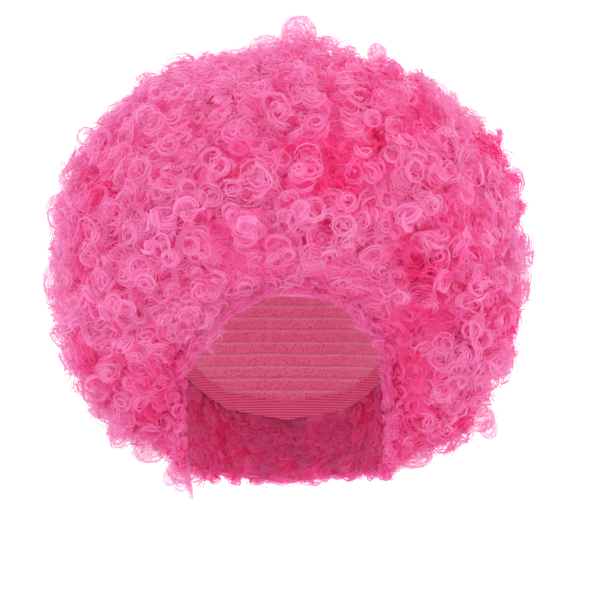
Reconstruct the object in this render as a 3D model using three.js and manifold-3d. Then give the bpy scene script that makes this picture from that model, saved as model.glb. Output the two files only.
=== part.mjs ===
// A curly afro party wig: a stretch cap with an elastic edge band, and five sections of tight
// curls sewn on it. Millimetres, +Z up. The origin is the inside of the cap's crown, where the
// top of the head bears. The face looks along -Y, and +X is the wearer's left.
import * as THREE from 'three';
import { ConvexHull } from 'three/addons/math/ConvexHull.js';
import { mergeVertices } from 'three/addons/utils/BufferGeometryUtils.js';
import Module from 'manifold-3d';

const wasm = await Module();
wasm.setup();

// Cap and band
const CAP_WIDTH = 154; // inside, across the girth
const CAP_LENGTH = 196; // inside, brow to back of the head
const CAP_DEPTH = 98; // crown down to the girth
const CAP_WALL = 1.5;
const BAND_WALL = 1.2;
const BAND_HEIGHT = 12;
const CLEARANCE = 0.4; // between neighbouring pieces
const SECTION_GAP = 0.7; // between the hair's sections, along their surface
const FACET_ROOM = 0.5; // how far the hair's inner facets may dip between their corners

// The hair's reach, measured from the cap's outside or from its crown
const HAIR_OVER_CROWN = 98;
const HAIR_AT_SIDE = 90;
const HAIR_AT_FRONT = 60;
const HAIR_AT_BACK = 74;
const HAIR_DROP = 205; // crown down to the lowest hair
const WIDEST_DROP = 58; // crown down to the hair's widest level
const HAIR_LEAN = 2.5; // how far the hair's middle stands to the wearer's left
const EDGE_THICKNESS = 6; // of the hair where it ends at the face and the neck
const TOP_FULLNESS = 2.15; // exponent of the outline above the widest level; 2 is an ellipse
const BOTTOM_FULLNESS = 2.3; // and below it
const LIP_ANGLE = 17; // degrees over which the hair rolls in to its edge
const NECK_DROP = 130; // girth down to the end of the hollow

// Curls
const CURL_SPACING = 25.5;
const CREST_RADIUS = 8; // of the ring that a curl's outermost turn makes
const CREST_LIMIT = 0.72; // the most of the way from a curl's middle to its corner
const VALLEY_DEPTH = 13;
const THICK_HAIR = 60; // the thickness from which the valleys have their full depth
const DIMPLE_DEPTH = 6;
const TWIST_RISE = 2.5; // how far a curl's end stands above its start
const UNEVENNESS = 0.4; // how far curls' sizes differ, as a share
const EDGE_ROW_SPACING = 0.9; // of the curls along the edge, as a share of the spacing
const EDGE_ROW_ANGLE = 3; // degrees from the edge to the first row of curls
const DARTS = 9000; // tries at placing a curl
const SEED = 20;

// Loose curls
const LOOSE_TAPER = 0.45; // how far the coil narrows to its end
const LOOSE_ROOT = 12; // how deep its start is sunk in the mass
const LOOSE_SIDES = 5;
const STEPS_A_TURN = 7;

// Facets of the cap and the hollow
const AROUND = 24;
const RIM_AROUND = 36;
const RIM_ROOM = 12; // how far the rim's cut keeps its slope on both sides of the wall
const CROWN_ROWS = 6;
const CROWN_FLAT = 0.12; // the flat on top, as a share of the highest row
const EDGE_STEPS = 300; // of the hair's edge

// The hollow below the girth: share of the neck drop, then shares of the cap's half width,
// of its half length in front and of its half length behind
const HOLLOW = [
  { drop: 0, width: 1, front: 1, back: 1 },
  { drop: 0.27, width: 1, front: 1, back: 0.97 },
  { drop: 0.54, width: 0.92, front: 1, back: 0.85 },
  { drop: 0.77, width: 0.82, front: 1, back: 0.7 },
  { drop: 1, width: 0.78, front: 1, back: 0.62 },
];

// The cap's rim: azimuth in degrees from the front, then how far it lies below the crown, as
// a share of the cap's depth
const RIM = [
  { azimuth: 0, drop: 0.77 },
  { azimuth: 20, drop: 0.79 },
  { azimuth: 35, drop: 0.92 },
  { azimuth: 50, drop: 1.12 },
  { azimuth: 68, drop: 1.25 },
  { azimuth: 90, drop: 1.16 },
  { azimuth: 120, drop: 1.34 },
  { azimuth: 150, drop: 1.6 },
  { azimuth: 180, drop: 1.68 },
];

// The hair's edge, seen from the middle of the girth: azimuth from the front, then the
// elevation of the edge on the wearer's left and right, all in degrees
const HAIR_EDGE = [
  { azimuth: 0, left: 15, right: 15 },
  { azimuth: 12, left: 14, right: 13 },
  { azimuth: 22, left: 12, right: 5 },
  { azimuth: 30, left: 4, right: -3 },
  { azimuth: 40, left: -2, right: -9 },
  { azimuth: 47, left: -11, right: -14 },
  { azimuth: 53, left: -30, right: -28 },
  { azimuth: 60, left: -43, right: -42 },
  { azimuth: 76, left: -54, right: -53 },
  { azimuth: 110, left: -56, right: -56 },
  { azimuth: 180, left: -57, right: -57 },
];

// Broad swells and dents of the mass: where, as azimuth and elevation from the middle of the
// girth in degrees, how high as a share of the curl spacing, and how broad in degrees
const SWELLS = [
  { azimuth: 75, elevation: 55, rise: 0.12, breadth: 15 },
  { azimuth: 88, elevation: 40, rise: 0.25, breadth: 7 },
  { azimuth: 80, elevation: 47, rise: -0.1, breadth: 7 },
  { azimuth: 86, elevation: 4, rise: -0.22, breadth: 9 },
  { azimuth: 86, elevation: -20, rise: -0.4, breadth: 8 },
  { azimuth: 87, elevation: -32, rise: 0.42, breadth: 8 },
  { azimuth: -86, elevation: 40, rise: 0.1, breadth: 11 },
  { azimuth: -84, elevation: 64, rise: 0.3, breadth: 10 },
  { azimuth: -80, elevation: -30, rise: 0.18, breadth: 12 },
  { azimuth: -84, elevation: -46, rise: -0.12, breadth: 9 },
  { azimuth: 25, elevation: 86, rise: 0.2, breadth: 12 },
  { azimuth: 10, elevation: 24, rise: 0.4, breadth: 12 },
  { azimuth: -28, elevation: 22, rise: 0.4, breadth: 13 },
  { azimuth: 42, elevation: 14, rise: 0.45, breadth: 12 },
  { azimuth: 58, elevation: -8, rise: 0.45, breadth: 12 },
  { azimuth: -52, elevation: 4, rise: 0.4, breadth: 14 },
  { azimuth: 0, elevation: 46, rise: -0.3, breadth: 10 },
  { azimuth: 150, elevation: 30, rise: 0.4, breadth: 16 },
  { azimuth: -145, elevation: 8, rise: 0.4, breadth: 16 },
  { azimuth: 178, elevation: -18, rise: 0.35, breadth: 15 },
  { azimuth: 165, elevation: 5, rise: -0.35, breadth: 12 },
];

// Curls that have sprung loose: where they leave the mass, how far they stand out as a share
// of the curl spacing, the coil's radius and the strand's as shares of it, and the turns
const LOOSE_CURLS = [
  { azimuth: 100, elevation: 86, reach: 0.6, coil: 0.28, strand: 0.24, turns: 1.5 },
  { azimuth: 105, elevation: 70, reach: 0.4, coil: 0.24, strand: 0.18, turns: 1.3 },
  { azimuth: 85, elevation: -26, reach: 0.6, coil: 0.24, strand: 0.2, turns: 1.3 },
  { azimuth: -170, elevation: 50, reach: 0.55, coil: 0.25, strand: 0.2, turns: 1.3 },
];

// Hair sections, each taken in this order: the first whose reach holds a curl has it
const SECTIONS = [
  { name: 'hair_crown', holds: (azimuth, elevation) => elevation > 52 },
  { name: 'hair_fringe', holds: (azimuth) => Math.abs(azimuth) < 48 },
  { name: 'hair_left', holds: (azimuth) => azimuth > 0 && azimuth < 118 },
  { name: 'hair_right', holds: (azimuth) => azimuth < 0 && azimuth > -118 },
  { name: 'hair_back', holds: () => true },
];

const HAIR = new THREE.MeshStandardMaterial({ color: 0xeb5f9c, roughness: 0.75 });
const CAP = new THREE.MeshStandardMaterial({ color: 0xc8386f, roughness: 0.9 });
const BAND = new THREE.MeshStandardMaterial({ color: 0xb52d60, roughness: 0.85 });

// The middle of the girth, which every direction below starts from
const MIDDLE = new THREE.Vector3(0, 0, -CAP_DEPTH);
const { sin, cos, abs, sqrt, min, max, PI } = Math;
const radians = THREE.MathUtils.degToRad;
const degrees = THREE.MathUtils.radToDeg;

// Repeatable random numbers from 0 to 1
function randomFrom(seed) {
  let state = seed;
  return () => {
    state = (state + 0x6d2b79f5) | 0;
    let t = Math.imul(state ^ (state >>> 15), 1 | state);
    t = (t + Math.imul(t ^ (t >>> 7), 61 | t)) ^ t;
    return ((t ^ (t >>> 14)) >>> 0) / 4294967296;
  };
}

// A unit vector from an azimuth, 0 at the front and positive to the wearer's left
function direction(azimuth, elevation) {
  const level = cos(radians(elevation));
  return new THREE.Vector3(
    level * sin(radians(azimuth)), -level * cos(radians(azimuth)), sin(radians(elevation)));
}
const azimuthOf = (d) => degrees(Math.atan2(d.x, -d.y));
const elevationOf = (d) => degrees(Math.asin(THREE.MathUtils.clamp(d.z, -1, 1)));

// A value between the rows of a table
function between(rows, key, at, column) {
  const next = rows.findIndex((row) => row[key] >= at);
  if (next < 1) return (next === 0 ? rows[0] : rows.at(-1))[column];
  const [a, b] = [rows[next - 1], rows[next]];
  return THREE.MathUtils.lerp(a[column], b[column], (at - a[key]) / (b[key] - a[key]));
}

// The distance from the middle of the girth to where a ray leaves a form
function distanceOut(d, isInside) {
  let near = 0;
  let far = 2 * (CAP_LENGTH + HAIR_DROP);
  for (let i = 0; i < 30; i++) {
    const half = (near + far) / 2;
    const p = d.clone().multiplyScalar(half).add(MIDDLE);
    if (isInside(p)) near = half;
    else far = half;
  }
  return near;
}

// The head's hollow, grown outwards by an offset: its half sizes at a level
function hollowAt(z, offset) {
  const top = CAP_DEPTH + offset;
  const above = z + CAP_DEPTH;
  if (above > 0) {
    const level = sqrt(max(0, 1 - (above / top) ** 2));
    const width = (CAP_WIDTH / 2 + offset) * level;
    const length = (CAP_LENGTH / 2 + offset) * level;
    return { width, front: length, back: length };
  }
  const share = min(1, -above / NECK_DROP);
  return {
    width: (CAP_WIDTH / 2) * between(HOLLOW, 'drop', share, 'width') + offset,
    front: (CAP_LENGTH / 2) * between(HOLLOW, 'drop', share, 'front') + offset,
    back: (CAP_LENGTH / 2) * between(HOLLOW, 'drop', share, 'back') + offset,
  };
}

function inHollow(p, offset) {
  const { width, front, back } = hollowAt(p.z, offset);
  if (!width) return false;
  return (p.x / width) ** 2 + (p.y / (p.y < 0 ? front : back)) ** 2 < 1;
}

// The whole mass of hair, without its lip, swells or curls
function inMass(p) {
  const halfWidth = CAP_WIDTH / 2 + CAP_WALL + HAIR_AT_SIDE;
  const front = CAP_LENGTH / 2 + CAP_WALL + HAIR_AT_FRONT;
  const back = CAP_LENGTH / 2 + CAP_WALL + HAIR_AT_BACK;
  const high = p.z + WIDEST_DROP;
  const halfHeight = high > 0 ? HAIR_OVER_CROWN + WIDEST_DROP : HAIR_DROP - WIDEST_DROP;
  const fullness = high > 0 ? TOP_FULLNESS : BOTTOM_FULLNESS;
  const across = (p.x - HAIR_LEAN) / halfWidth;
  const along = (p.y - (back - front) / 2) / ((back + front) / 2);
  return sqrt(across ** 2 + along ** 2) ** fullness + (abs(high) / halfHeight) ** fullness < 1;
}

const HAIR_INSIDE = CAP_WALL + CLEARANCE + FACET_ROOM;
const edgeElevation = (azimuth) =>
  between(HAIR_EDGE, 'azimuth', abs(azimuth), azimuth > 0 ? 'left' : 'right');

// The hair's surface is laid out on a sphere, on which the roll to the edge takes its whole
// quarter turn: the roll starts a little outside the real edge and ends at the lip's angle.
const LIP = radians(LIP_ANGLE);
const ROLL = (LIP * PI) / 2;
const OVERSHOOT = ROLL - LIP;

// The edge of the hair as directions round the head, each with its own axes on the sphere
const EDGE = Array.from({ length: EDGE_STEPS }, (_, i) => {
  const azimuth = (i / EDGE_STEPS) * 360 - 180;
  return { at: direction(azimuth, edgeElevation(azimuth)) };
});
EDGE.forEach((e, i) => {
  e.along = EDGE[(i + 1) % EDGE_STEPS].at.clone().sub(EDGE.at(i - 1).at).normalize();
  e.across = e.at.clone().cross(e.along).normalize();
});

// Where a direction lies on the roll: its nearest edge, and how far past the roll's start
function rollAt(u) {
  const edge = EDGE.reduce((best, e) => (e.at.dot(u) > best.at.dot(u) ? e : best));
  const turn = Math.atan2(u.dot(edge.across), u.dot(edge.at)) + OVERSHOOT;
  return { edge, turn };
}
const isHair = (u) => rollAt(u).turn > 0;

// The real direction of one on the layout sphere, where ease says how the roll bends in
function bend(u, { edge, turn }, ease) {
  if (turn >= ROLL) return u.clone();
  const past = LIP * ease(max(0, turn / ROLL));
  return edge.at.clone().multiplyScalar(cos(past))
    .addScaledVector(edge.across, sin(past))
    .addScaledVector(edge.along, u.dot(edge.along)).normalize();
}

// The hair's smooth envelope, from a direction on the layout sphere
function envelope(u) {
  const roll = rollAt(u);
  const d = bend(u, roll, (share) => 1 - cos((share * PI) / 2));
  const inside = distanceOut(d, (p) => inHollow(p, HAIR_INSIDE)) + EDGE_THICKNESS;
  const swell = SWELLS.reduce((sum, s) => {
    const away = degrees(d.angleTo(direction(s.azimuth, s.elevation))) / s.breadth;
    return sum + s.rise * CURL_SPACING * Math.exp(-away * away);
  }, 0);
  const outside = max(inside, distanceOut(d, inMass) + swell);
  const risen = sin((THREE.MathUtils.clamp(roll.turn / ROLL, 0, 1) * PI) / 2);
  return d.multiplyScalar(inside + (outside - inside) * risen).add(MIDDLE);
}

// The hair's inside, which lies round the cap and below it round the neck's hollow
function underside(u) {
  const d = bend(u, rollAt(u), (share) => share);
  return d.multiplyScalar(distanceOut(d, (p) => inHollow(p, HAIR_INSIDE))).add(MIDDLE);
}

// The envelope's outward normal
function normalAt(d, point) {
  const step = 0.02;
  const side = new THREE.Vector3(-d.y, d.x, 0).normalize();
  const up = new THREE.Vector3().crossVectors(d, side);
  const ahead = envelope(d.clone().addScaledVector(side, step).normalize()).sub(point);
  const above = envelope(d.clone().addScaledVector(up, step).normalize()).sub(point);
  return ahead.cross(above).normalize();
}

// Directions of the curls' middles: one row on each side of the edge, then darts thrown at
// the rest, each kept if it lands a curl's spacing away from the others
function curlMiddles() {
  const random = randomFrom(SEED);
  const kept = [];
  const far = (point, least) => kept.every((k) => k.point.distanceTo(point) > least);
  const rowOff = radians(EDGE_ROW_ANGLE);
  const rows = [];
  EDGE.forEach(({ at, across }) => {
    const start = at.clone().addScaledVector(across, -Math.tan(OVERSHOOT)).normalize();
    const base = envelope(start);
    if (rows.some((b) => b.distanceTo(base) < EDGE_ROW_SPACING * CURL_SPACING)) return;
    rows.push(base);
    [rowOff, -rowOff].forEach((off) => {
      const d = start.clone().addScaledVector(across, off).normalize();
      kept.push({ d, point: envelope(d), base: underside(d), hair: off > 0 });
    });
  });
  for (let i = 0; i < DARTS; i++) {
    const z = 2 * random() - 1;
    const turn = 2 * PI * random();
    const level = sqrt(1 - z * z);
    const d = new THREE.Vector3(level * cos(turn), level * sin(turn), z);
    const size = 1 + UNEVENNESS * (random() - 0.5);
    const point = envelope(d);
    const hair = isHair(d);
    const least = hair ? CURL_SPACING * size : 2 * CURL_SPACING;
    if (far(point, least)) kept.push({ d, point, base: underside(d), hair });
  }
  return kept;
}

// The curls' neighbours: the hull of the middles as points on a sphere is their Delaunay mesh
function trianglesOf(middles) {
  const points = middles.map((m) => m.d.clone());
  const hull = new ConvexHull().setFromPoints(points);
  return hull.faces.map((face) => {
    const found = [];
    let edge = face.edge;
    do {
      found.push(points.indexOf(edge.head().point));
      edge = edge.next;
    } while (edge !== face.edge);
    return found;
  });
}

// Each curl as a cell: its middle and its corners in order, seen from outside
function curlCells() {
  const middles = curlMiddles();
  const triangles = trianglesOf(middles);
  const corners = triangles.map((t) => {
    const d = t.reduce((sum, i) => sum.add(middles[i].d), new THREE.Vector3()).normalize();
    return { d, curls: t };
  });
  return middles.map((m, i) => {
    const side = new THREE.Vector3(-m.d.y, m.d.x, 0).normalize();
    const up = new THREE.Vector3().crossVectors(m.d, side);
    const angle = (c) => {
      const out = c.d.clone().sub(m.d);
      return Math.atan2(out.dot(up), out.dot(side));
    };
    const own = corners.map((c, k) => ({ c, k })).filter(({ c }) => c.curls.includes(i));
    own.sort((a, b) => angle(a.c) - angle(b.c));
    return { ...m, index: i, corners: own };
  });
}

const sectionOf = (cell) => (cell.hair
  ? SECTIONS.find((s) => s.holds(azimuthOf(cell.d), elevationOf(cell.d))).name
  : 'none');

// A closed solid of a section's cells: curls outside, the hollow's form inside, and a wall
// round the section
function sectionGeometry(name, cells, random) {
  const own = cells.filter((c) => c.section === name);
  const positions = [];
  const index = [];
  const add = (p) => positions.push(p.x, p.y, p.z) / 3 - 1;
  const seats = new Map();

  // A corner's outer and inner vertices, drawn back a little from the next section's
  function seat({ c, k }) {
    if (seats.has(k)) return seats.get(k);
    const mates = c.curls.map((i) => cells[i]);
    const mine = mates.filter((m) => m.section === name);
    const open = mates.some((m) => m.section === 'none');
    const shared = mates.some((m) => m.section !== name && m.section !== 'none');
    const drawBack = (p, key) => {
      if (!shared) return p;
      const inner = mine.reduce((sum, m) => sum.add(m[key]), new THREE.Vector3());
      return p.addScaledVector(inner.divideScalar(mine.length).sub(p).normalize(), SECTION_GAP / 2);
    };
    const [top, low] = [envelope(c.d), underside(c.d)];
    const depth = VALLEY_DEPTH * min(1, top.distanceTo(low) / THICK_HAIR);
    const valley = normalAt(c.d, top).multiplyScalar(open ? 0 : -depth);
    const made = { top: add(drawBack(top, 'point').add(valley)), low: add(drawBack(low, 'base')) };
    seats.set(k, made);
    return made;
  }

  own.forEach((cell) => {
    const ring = cell.corners.map(seat);
    const start = Math.floor(random() * ring.length);
    const normal = normalAt(cell.d, cell.point);
    const dimple = DIMPLE_DEPTH * (1 + UNEVENNESS * (2 * random() - 1));
    const middle = add(cell.point.clone().addScaledVector(normal, -dimple));
    const bottom = add(cell.base);
    const crests = cell.corners.map(({ c }, i) => {
      const reach = CREST_RADIUS / envelope(c.d).distanceTo(cell.point);
      const d = cell.d.clone().lerp(c.d, min(CREST_LIMIT, reach)).normalize();
      const turn = ((i - start + ring.length) % ring.length) / ring.length;
      return add(envelope(d).addScaledVector(normal, TWIST_RISE * (turn - 0.5)));
    });
    ring.forEach((a, i) => {
      const j = (i + 1) % ring.length;
      const b = ring[j];
      index.push(middle, crests[i], crests[j]);
      index.push(crests[i], a.top, b.top, crests[i], b.top, crests[j]);
      index.push(bottom, b.low, a.low);
      const shared = cell.corners[i].c.curls.filter((n) => cell.corners[j].c.curls.includes(n));
      const next = cells[shared.find((n) => n !== cell.index)];
      if (next.section === name) return;
      // both sections split the wall between them along the same diagonal
      if (cell.corners[i].k < cell.corners[j].k) {
        index.push(a.top, a.low, b.low, a.top, b.low, b.top);
      } else {
        index.push(a.top, a.low, b.top, a.low, b.low, b.top);
      }
    });
  });
  const geometry = new THREE.BufferGeometry();
  geometry.setAttribute('position', new THREE.Float32BufferAttribute(positions, 3));
  geometry.setIndex(index);
  return geometry;
}

// three.js geometry to a manifold solid and back
function solidOf(geometry) {
  const bare = new THREE.BufferGeometry();
  bare.setAttribute('position', geometry.getAttribute('position'));
  if (geometry.index) bare.setIndex(geometry.index);
  const merged = mergeVertices(bare, 1e-4);
  return new wasm.Manifold(new wasm.Mesh({
    numProp: 3,
    vertProperties: new Float32Array(merged.attributes.position.array),
    triVerts: new Uint32Array(merged.index.array),
  }));
}

function geometryOf(solid) {
  const mesh = solid.getMesh();
  const geometry = new THREE.BufferGeometry();
  geometry.setAttribute('position', new THREE.BufferAttribute(mesh.vertProperties, 3));
  geometry.setIndex(new THREE.BufferAttribute(mesh.triVerts, 1));
  geometry.computeVertexNormals();
  return geometry;
}

// A closed surface through rings of points, from the lowest ring to the highest
function loft(rings) {
  const n = rings[0].length;
  const positions = rings.flat().flatMap((p) => [p.x, p.y, p.z]);
  const index = [];
  for (let r = 0; r + 1 < rings.length; r++) {
    for (let i = 0; i < n; i++) {
      const [a, b] = [r * n + i, r * n + ((i + 1) % n)];
      index.push(a, b, b + n, a, b + n, a + n);
    }
  }
  [rings[0], rings.at(-1)].forEach((ring, end) => {
    const middle = ring.reduce((sum, p) => sum.add(p), new THREE.Vector3()).divideScalar(n);
    const centre = positions.push(middle.x, middle.y, middle.z) / 3 - 1;
    const first = end ? (rings.length - 1) * n : 0;
    for (let i = 0; i < n; i++) {
      const [a, b] = [first + i, first + ((i + 1) % n)];
      index.push(...(end ? [centre, a, b] : [centre, b, a]));
    }
  });
  const geometry = new THREE.BufferGeometry();
  geometry.setAttribute('position', new THREE.Float32BufferAttribute(positions, 3));
  geometry.setIndex(index);
  return geometry;
}

// The hollow as a solid, grown by an offset. Every offset has its facets over the same places.
function hollowSolid(offset) {
  const levels = HOLLOW.map((row) => -CAP_DEPTH - row.drop * NECK_DROP).reverse();
  for (let i = 1; i < CROWN_ROWS; i++) {
    levels.push(sin((i / CROWN_ROWS) * (PI / 2)) * (CAP_DEPTH + offset) - CAP_DEPTH);
  }
  const rings = levels.map((z) => Array.from({ length: AROUND }, (_, i) => {
    const { width, front, back } = hollowAt(z, offset);
    const turn = (i / AROUND) * 2 * PI;
    const length = sin(turn) < 0 ? front : back;
    return new THREE.Vector3(width * cos(turn), length * sin(turn), z);
  }));
  rings.push(rings.at(-1).map(
    (p) => new THREE.Vector3(p.x * CROWN_FLAT, p.y * CROWN_FLAT, offset)));
  return solidOf(loft(rings));
}

// Everything below the rim, or below a line a given height above it
function belowRim(height) {
  const reach = CAP_LENGTH + HAIR_AT_BACK;
  const outer = CAP_LENGTH / 2 + RIM_ROOM;
  const inner = CAP_WIDTH / 2 - RIM_ROOM;
  const middle = CAP_WIDTH / 8;
  const ring = (radius, levelAt) => Array.from({ length: RIM_AROUND }, (_, i) => {
    const azimuth = (i / RIM_AROUND) * 360 - 180;
    const d = direction(azimuth, 0).multiplyScalar(radius);
    return d.setZ(levelAt(azimuth));
  });
  const rim = (azimuth) => height - CAP_DEPTH * between(RIM, 'azimuth', abs(azimuth), 'drop');
  const floor = () => -CAP_DEPTH - 2 * NECK_DROP;
  return solidOf(loft([
    ring(middle, floor), ring(reach, floor),
    ring(reach, rim), ring(outer, rim), ring(inner, rim), ring(middle, rim),
  ]));
}

// A sprung curl: a strand along a tapering coil that leaves the mass
function looseCurl(d, { reach, coil, strand, turns }) {
  const root = envelope(d);
  const normal = normalAt(d, root);
  const side = new THREE.Vector3(-normal.y, normal.x, normal.z).cross(normal).normalize();
  const up = new THREE.Vector3().crossVectors(normal, side);
  const points = [];
  const steps = Math.ceil(STEPS_A_TURN * turns);
  for (let i = 0; i <= steps; i++) {
    const share = i / steps;
    const turn = share * turns * 2 * PI;
    const radius = coil * CURL_SPACING * (1 - LOOSE_TAPER * share);
    points.push(root.clone()
      .addScaledVector(normal, (reach * CURL_SPACING + LOOSE_ROOT) * share - LOOSE_ROOT)
      .addScaledVector(side, radius * cos(turn))
      .addScaledVector(up, radius * sin(turn)));
  }
  const section = new THREE.Shape();
  const thick = strand * CURL_SPACING;
  for (let i = 0; i < LOOSE_SIDES; i++) {
    const turn = (i / LOOSE_SIDES) * 2 * PI;
    section[i ? 'lineTo' : 'moveTo'](thick * cos(turn), thick * sin(turn));
  }
  section.closePath();
  return solidOf(new THREE.ExtrudeGeometry(section, {
    steps, bevelEnabled: false, extrudePath: new THREE.CatmullRomCurve3(points),
  }));
}

// The cap and the elastic band inside its rim
function capSolid() {
  return hollowSolid(CAP_WALL).subtract(hollowSolid(0)).subtract(belowRim(0));
}

function bandSolid() {
  const shell = hollowSolid(-CLEARANCE).subtract(hollowSolid(-CLEARANCE - BAND_WALL));
  return shell.intersect(belowRim(BAND_HEIGHT)).subtract(belowRim(0));
}

// The hair sections, with their loose curls joined on
function hairSolids() {
  const cells = curlCells();
  cells.forEach((cell) => { cell.section = sectionOf(cell); });
  const random = randomFrom(SEED + 1);
  const inner = cells.filter((cell) => cell.hair && cell.corners.every(
    ({ c }) => c.curls.every((i) => cells[i].section === cell.section)));
  const loose = LOOSE_CURLS.map((curl) => {
    const d = direction(curl.azimuth, curl.elevation);
    const seat = inner.reduce((best, c) => (c.d.dot(d) > best.d.dot(d) ? c : best));
    return { section: seat.section, solid: looseCurl(seat.d, curl) };
  });
  return SECTIONS.map(({ name }) => {
    const body = solidOf(sectionGeometry(name, cells, random));
    const own = loose.filter((curl) => curl.section === name);
    return { name, solid: own.reduce((joined, curl) => joined.add(curl.solid), body) };
  });
}

function mesh(name, solid, material) {
  const made = new THREE.Mesh(geometryOf(solid), material);
  made.name = name;
  return made;
}

const wig = new THREE.Group();
wig.name = 'curly_wig';
wig.add(mesh('wig_cap', capSolid(), CAP));
wig.add(mesh('edge_band', bandSolid(), BAND));
hairSolids().forEach(({ name, solid }) => wig.add(mesh(name, solid, HAIR)));

export default wig;
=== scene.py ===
"""Looks of a bright pink curly afro wig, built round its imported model. Metres, +Z up."""
import math

import bpy
import numpy as np
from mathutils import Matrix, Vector
from mathutils.bvhtree import BVHTree


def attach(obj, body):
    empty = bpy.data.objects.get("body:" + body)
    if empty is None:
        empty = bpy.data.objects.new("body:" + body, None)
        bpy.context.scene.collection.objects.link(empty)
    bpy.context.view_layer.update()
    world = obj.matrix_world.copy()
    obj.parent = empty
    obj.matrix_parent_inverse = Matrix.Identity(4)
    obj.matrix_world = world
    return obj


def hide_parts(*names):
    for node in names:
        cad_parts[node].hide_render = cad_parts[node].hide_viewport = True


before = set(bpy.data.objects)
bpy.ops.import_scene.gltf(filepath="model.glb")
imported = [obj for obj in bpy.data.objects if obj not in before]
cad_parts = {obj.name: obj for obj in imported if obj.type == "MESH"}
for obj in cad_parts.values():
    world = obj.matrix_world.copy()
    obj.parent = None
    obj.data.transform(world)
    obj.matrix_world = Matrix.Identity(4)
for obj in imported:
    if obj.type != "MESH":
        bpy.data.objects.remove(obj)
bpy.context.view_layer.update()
MM = 0.001
rng = np.random.default_rng(11)

# The photograph's framing: the size of a pixel at the head, and the picture's middle
PIXEL = 0.69 * MM
FRAME_PIXELS = 591
MIDDLE_X = 7.2 * MM
MIDDLE_Z = -75.0 * MM
CAMERA_AWAY = 1.9
FLOOR_Z = -0.40

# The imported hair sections, and the height that parts the pieces of the one behind
SECTIONS = ["hair_crown", "hair_fringe", "hair_left", "hair_right", "hair_back"]
BACK_SPLIT_Z = -70 * MM

# Ringlets: how far apart, and what each draws from
CURL_APART = 8.7 * MM
CURL_TRIES = 26000
CURL_RADIUS = (4.0 * MM, 6.8 * MM)
CURL_SIZES = (1.0, 1.0, 1.25)
CURL_TURNS = (1.3, 2.0)
CURL_CLOSING = (0.25, 0.45, 0.8, 0.85)
CURL_LENGTH = (8 * MM, 14 * MM)
CURL_OUT = (-2.5 * MM, 1.5 * MM)
CURL_TILT = math.radians(27)
CURL_STEPS = 16
CURL_EASE = 0.8

# How a coil fits the hair: what counts as thick, the share of its depth, and how a leaning one sinks
THICK_HAIR = 14 * MM
DEPTH_SHARE = 0.3
LEAN_SINK = 0.8

# Strands of a ringlet: a core that shows its coil, and a thin halo
CORE_STRANDS = 4
CORE_SPREAD = (0, 2.3 * MM)
CORE_WIDTH = (0.75 * MM, 1.3 * MM)
HALO_STRANDS = 5
HALO_STEPS = 11
HALO_SPREAD = (0.6 * MM, 3.3 * MM)
HALO_WIDTH = (0.3 * MM, 0.55 * MM)
LOOSENESS = (1.0, 1.0, 1.7)

# Every ribbon: how far it, or a single hair, rolls about its line, leans out of its coil and waves
ROLL = 0.5
HAIR_ROLL = 1.0
FACE_OUT = 0.6
FRIZZ = 0.45 * MM
FRIZZ_WAVES = ((FRIZZ, 3.0), (0.6 * FRIZZ, 7.0))

# Wide locks under the ringlets
FILL_APART = 11 * MM
FILL_TRIES = 12000
FILL_STRANDS = 2
FILL_STEPS = 11
FILL_SPREAD = (0, 2.5 * MM)
FILL_WIDTH = (2.0 * MM, 3.0 * MM)
FILL_RADIUS = (4 * MM, 8 * MM)
FILL_TURNS = (0.7, 1.2)
FILL_LOW = 11 * MM
EVEN_ENOUGH = 0.5

# Short curls on the lip round the opening
LIP_APART = 6.2 * MM
LIP_REACH = 1.12
LIP_STRANDS = 5
LIP_STEPS = 14
LIP_RADIUS = (2.5 * MM, 4.5 * MM)
LIP_RISE = (1 * MM, 4 * MM)
LIP_TURNS = (1.0, 1.8)
LIP_SPREAD = (0, 2 * MM)
LIP_WIDTH = (0.4 * MM, 0.9 * MM)

# Single hairs that arch over the curls
FLYAWAYS = 2400
FLY_STEPS = 10
FLY_TILT = 0.9
# Their pale tone is painted light, for thin single hairs that light shines through
FLY_TONE = 0.95
FLY_RADIUS = (4.5 * MM, 9 * MM)
FLY_START = (-4 * MM, -1 * MM)
FLY_RISE = (0, 5 * MM)
FLY_TURNS = (0.5, 1.1)
FLY_SPREAD = (0, 1 * MM)
FLY_WIDTH = (0.16 * MM, 0.28 * MM)

# The mass under it all: how far down it lies, and how much of thin and thick hair that may take
MASS_BELOW = 8 * MM
MASS_LEAST = 3 * MM
MASS_DEPTHS = (10 * MM, 30 * MM)
MASS_SHARES = (0.3, 0.42)
EVEN_ROUNDS = 3
EVEN_SHARE = 0.65

# How hair is measured: over what reach it is smoothed, and what counts as a gap or as thin
SMOOTH_REACH = 17 * MM
WALL_GAP = 4 * MM
GAP_LIMIT = 6 * MM
THIN_HAIR = 10 * MM
RAY_NUDGE = 0.01 * MM
RAY_LENGTH = 0.2

# Tones, from 0 to 1: pale puffs of random tone, with painted shade that deepens towards their edges, and
# wider patches, lighter and darker at random; how the sides differ, the wearer's left darker as painted
# shade and the right lighter as painted light; how the top differs; hair that stands out, lighter as
# painted light, and hair in hollows, darker as painted shade; and the painted shade beside the cheeks
PUFF_APART = 22 * MM
PUFF_TRIES = 6000
PUFF_CHANCE = (1.6, 1.4)
PUFF_TONES = (0.1, 1.1)
PUFF_PEAK = 1.2
PATCH_APART = 42 * MM
PATCH_TRIES = 2000
PATCH_REACH = 28 * MM
PATCH_WEIGHT = 0.95
SIDE_SHADE_WEIGHT = 0.5
HALF_WIDTH = 150 * MM
TOP_WEIGHT = 0.2
TOP_Z = 60 * MM
TOP_RISE = 50 * MM
HEIGHT_FULL = 20 * MM
RAISED_FULL = 12 * MM
CHEEK_Z = -105 * MM
CHEEK_FADE = 20 * MM
CHEEK_REACH = (0.95, 0.22)
CHEEK_SHADE = 0.85
TONE_SHIFT = -0.03
TONE_LIMITS = (0.04, 1.1)
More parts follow.
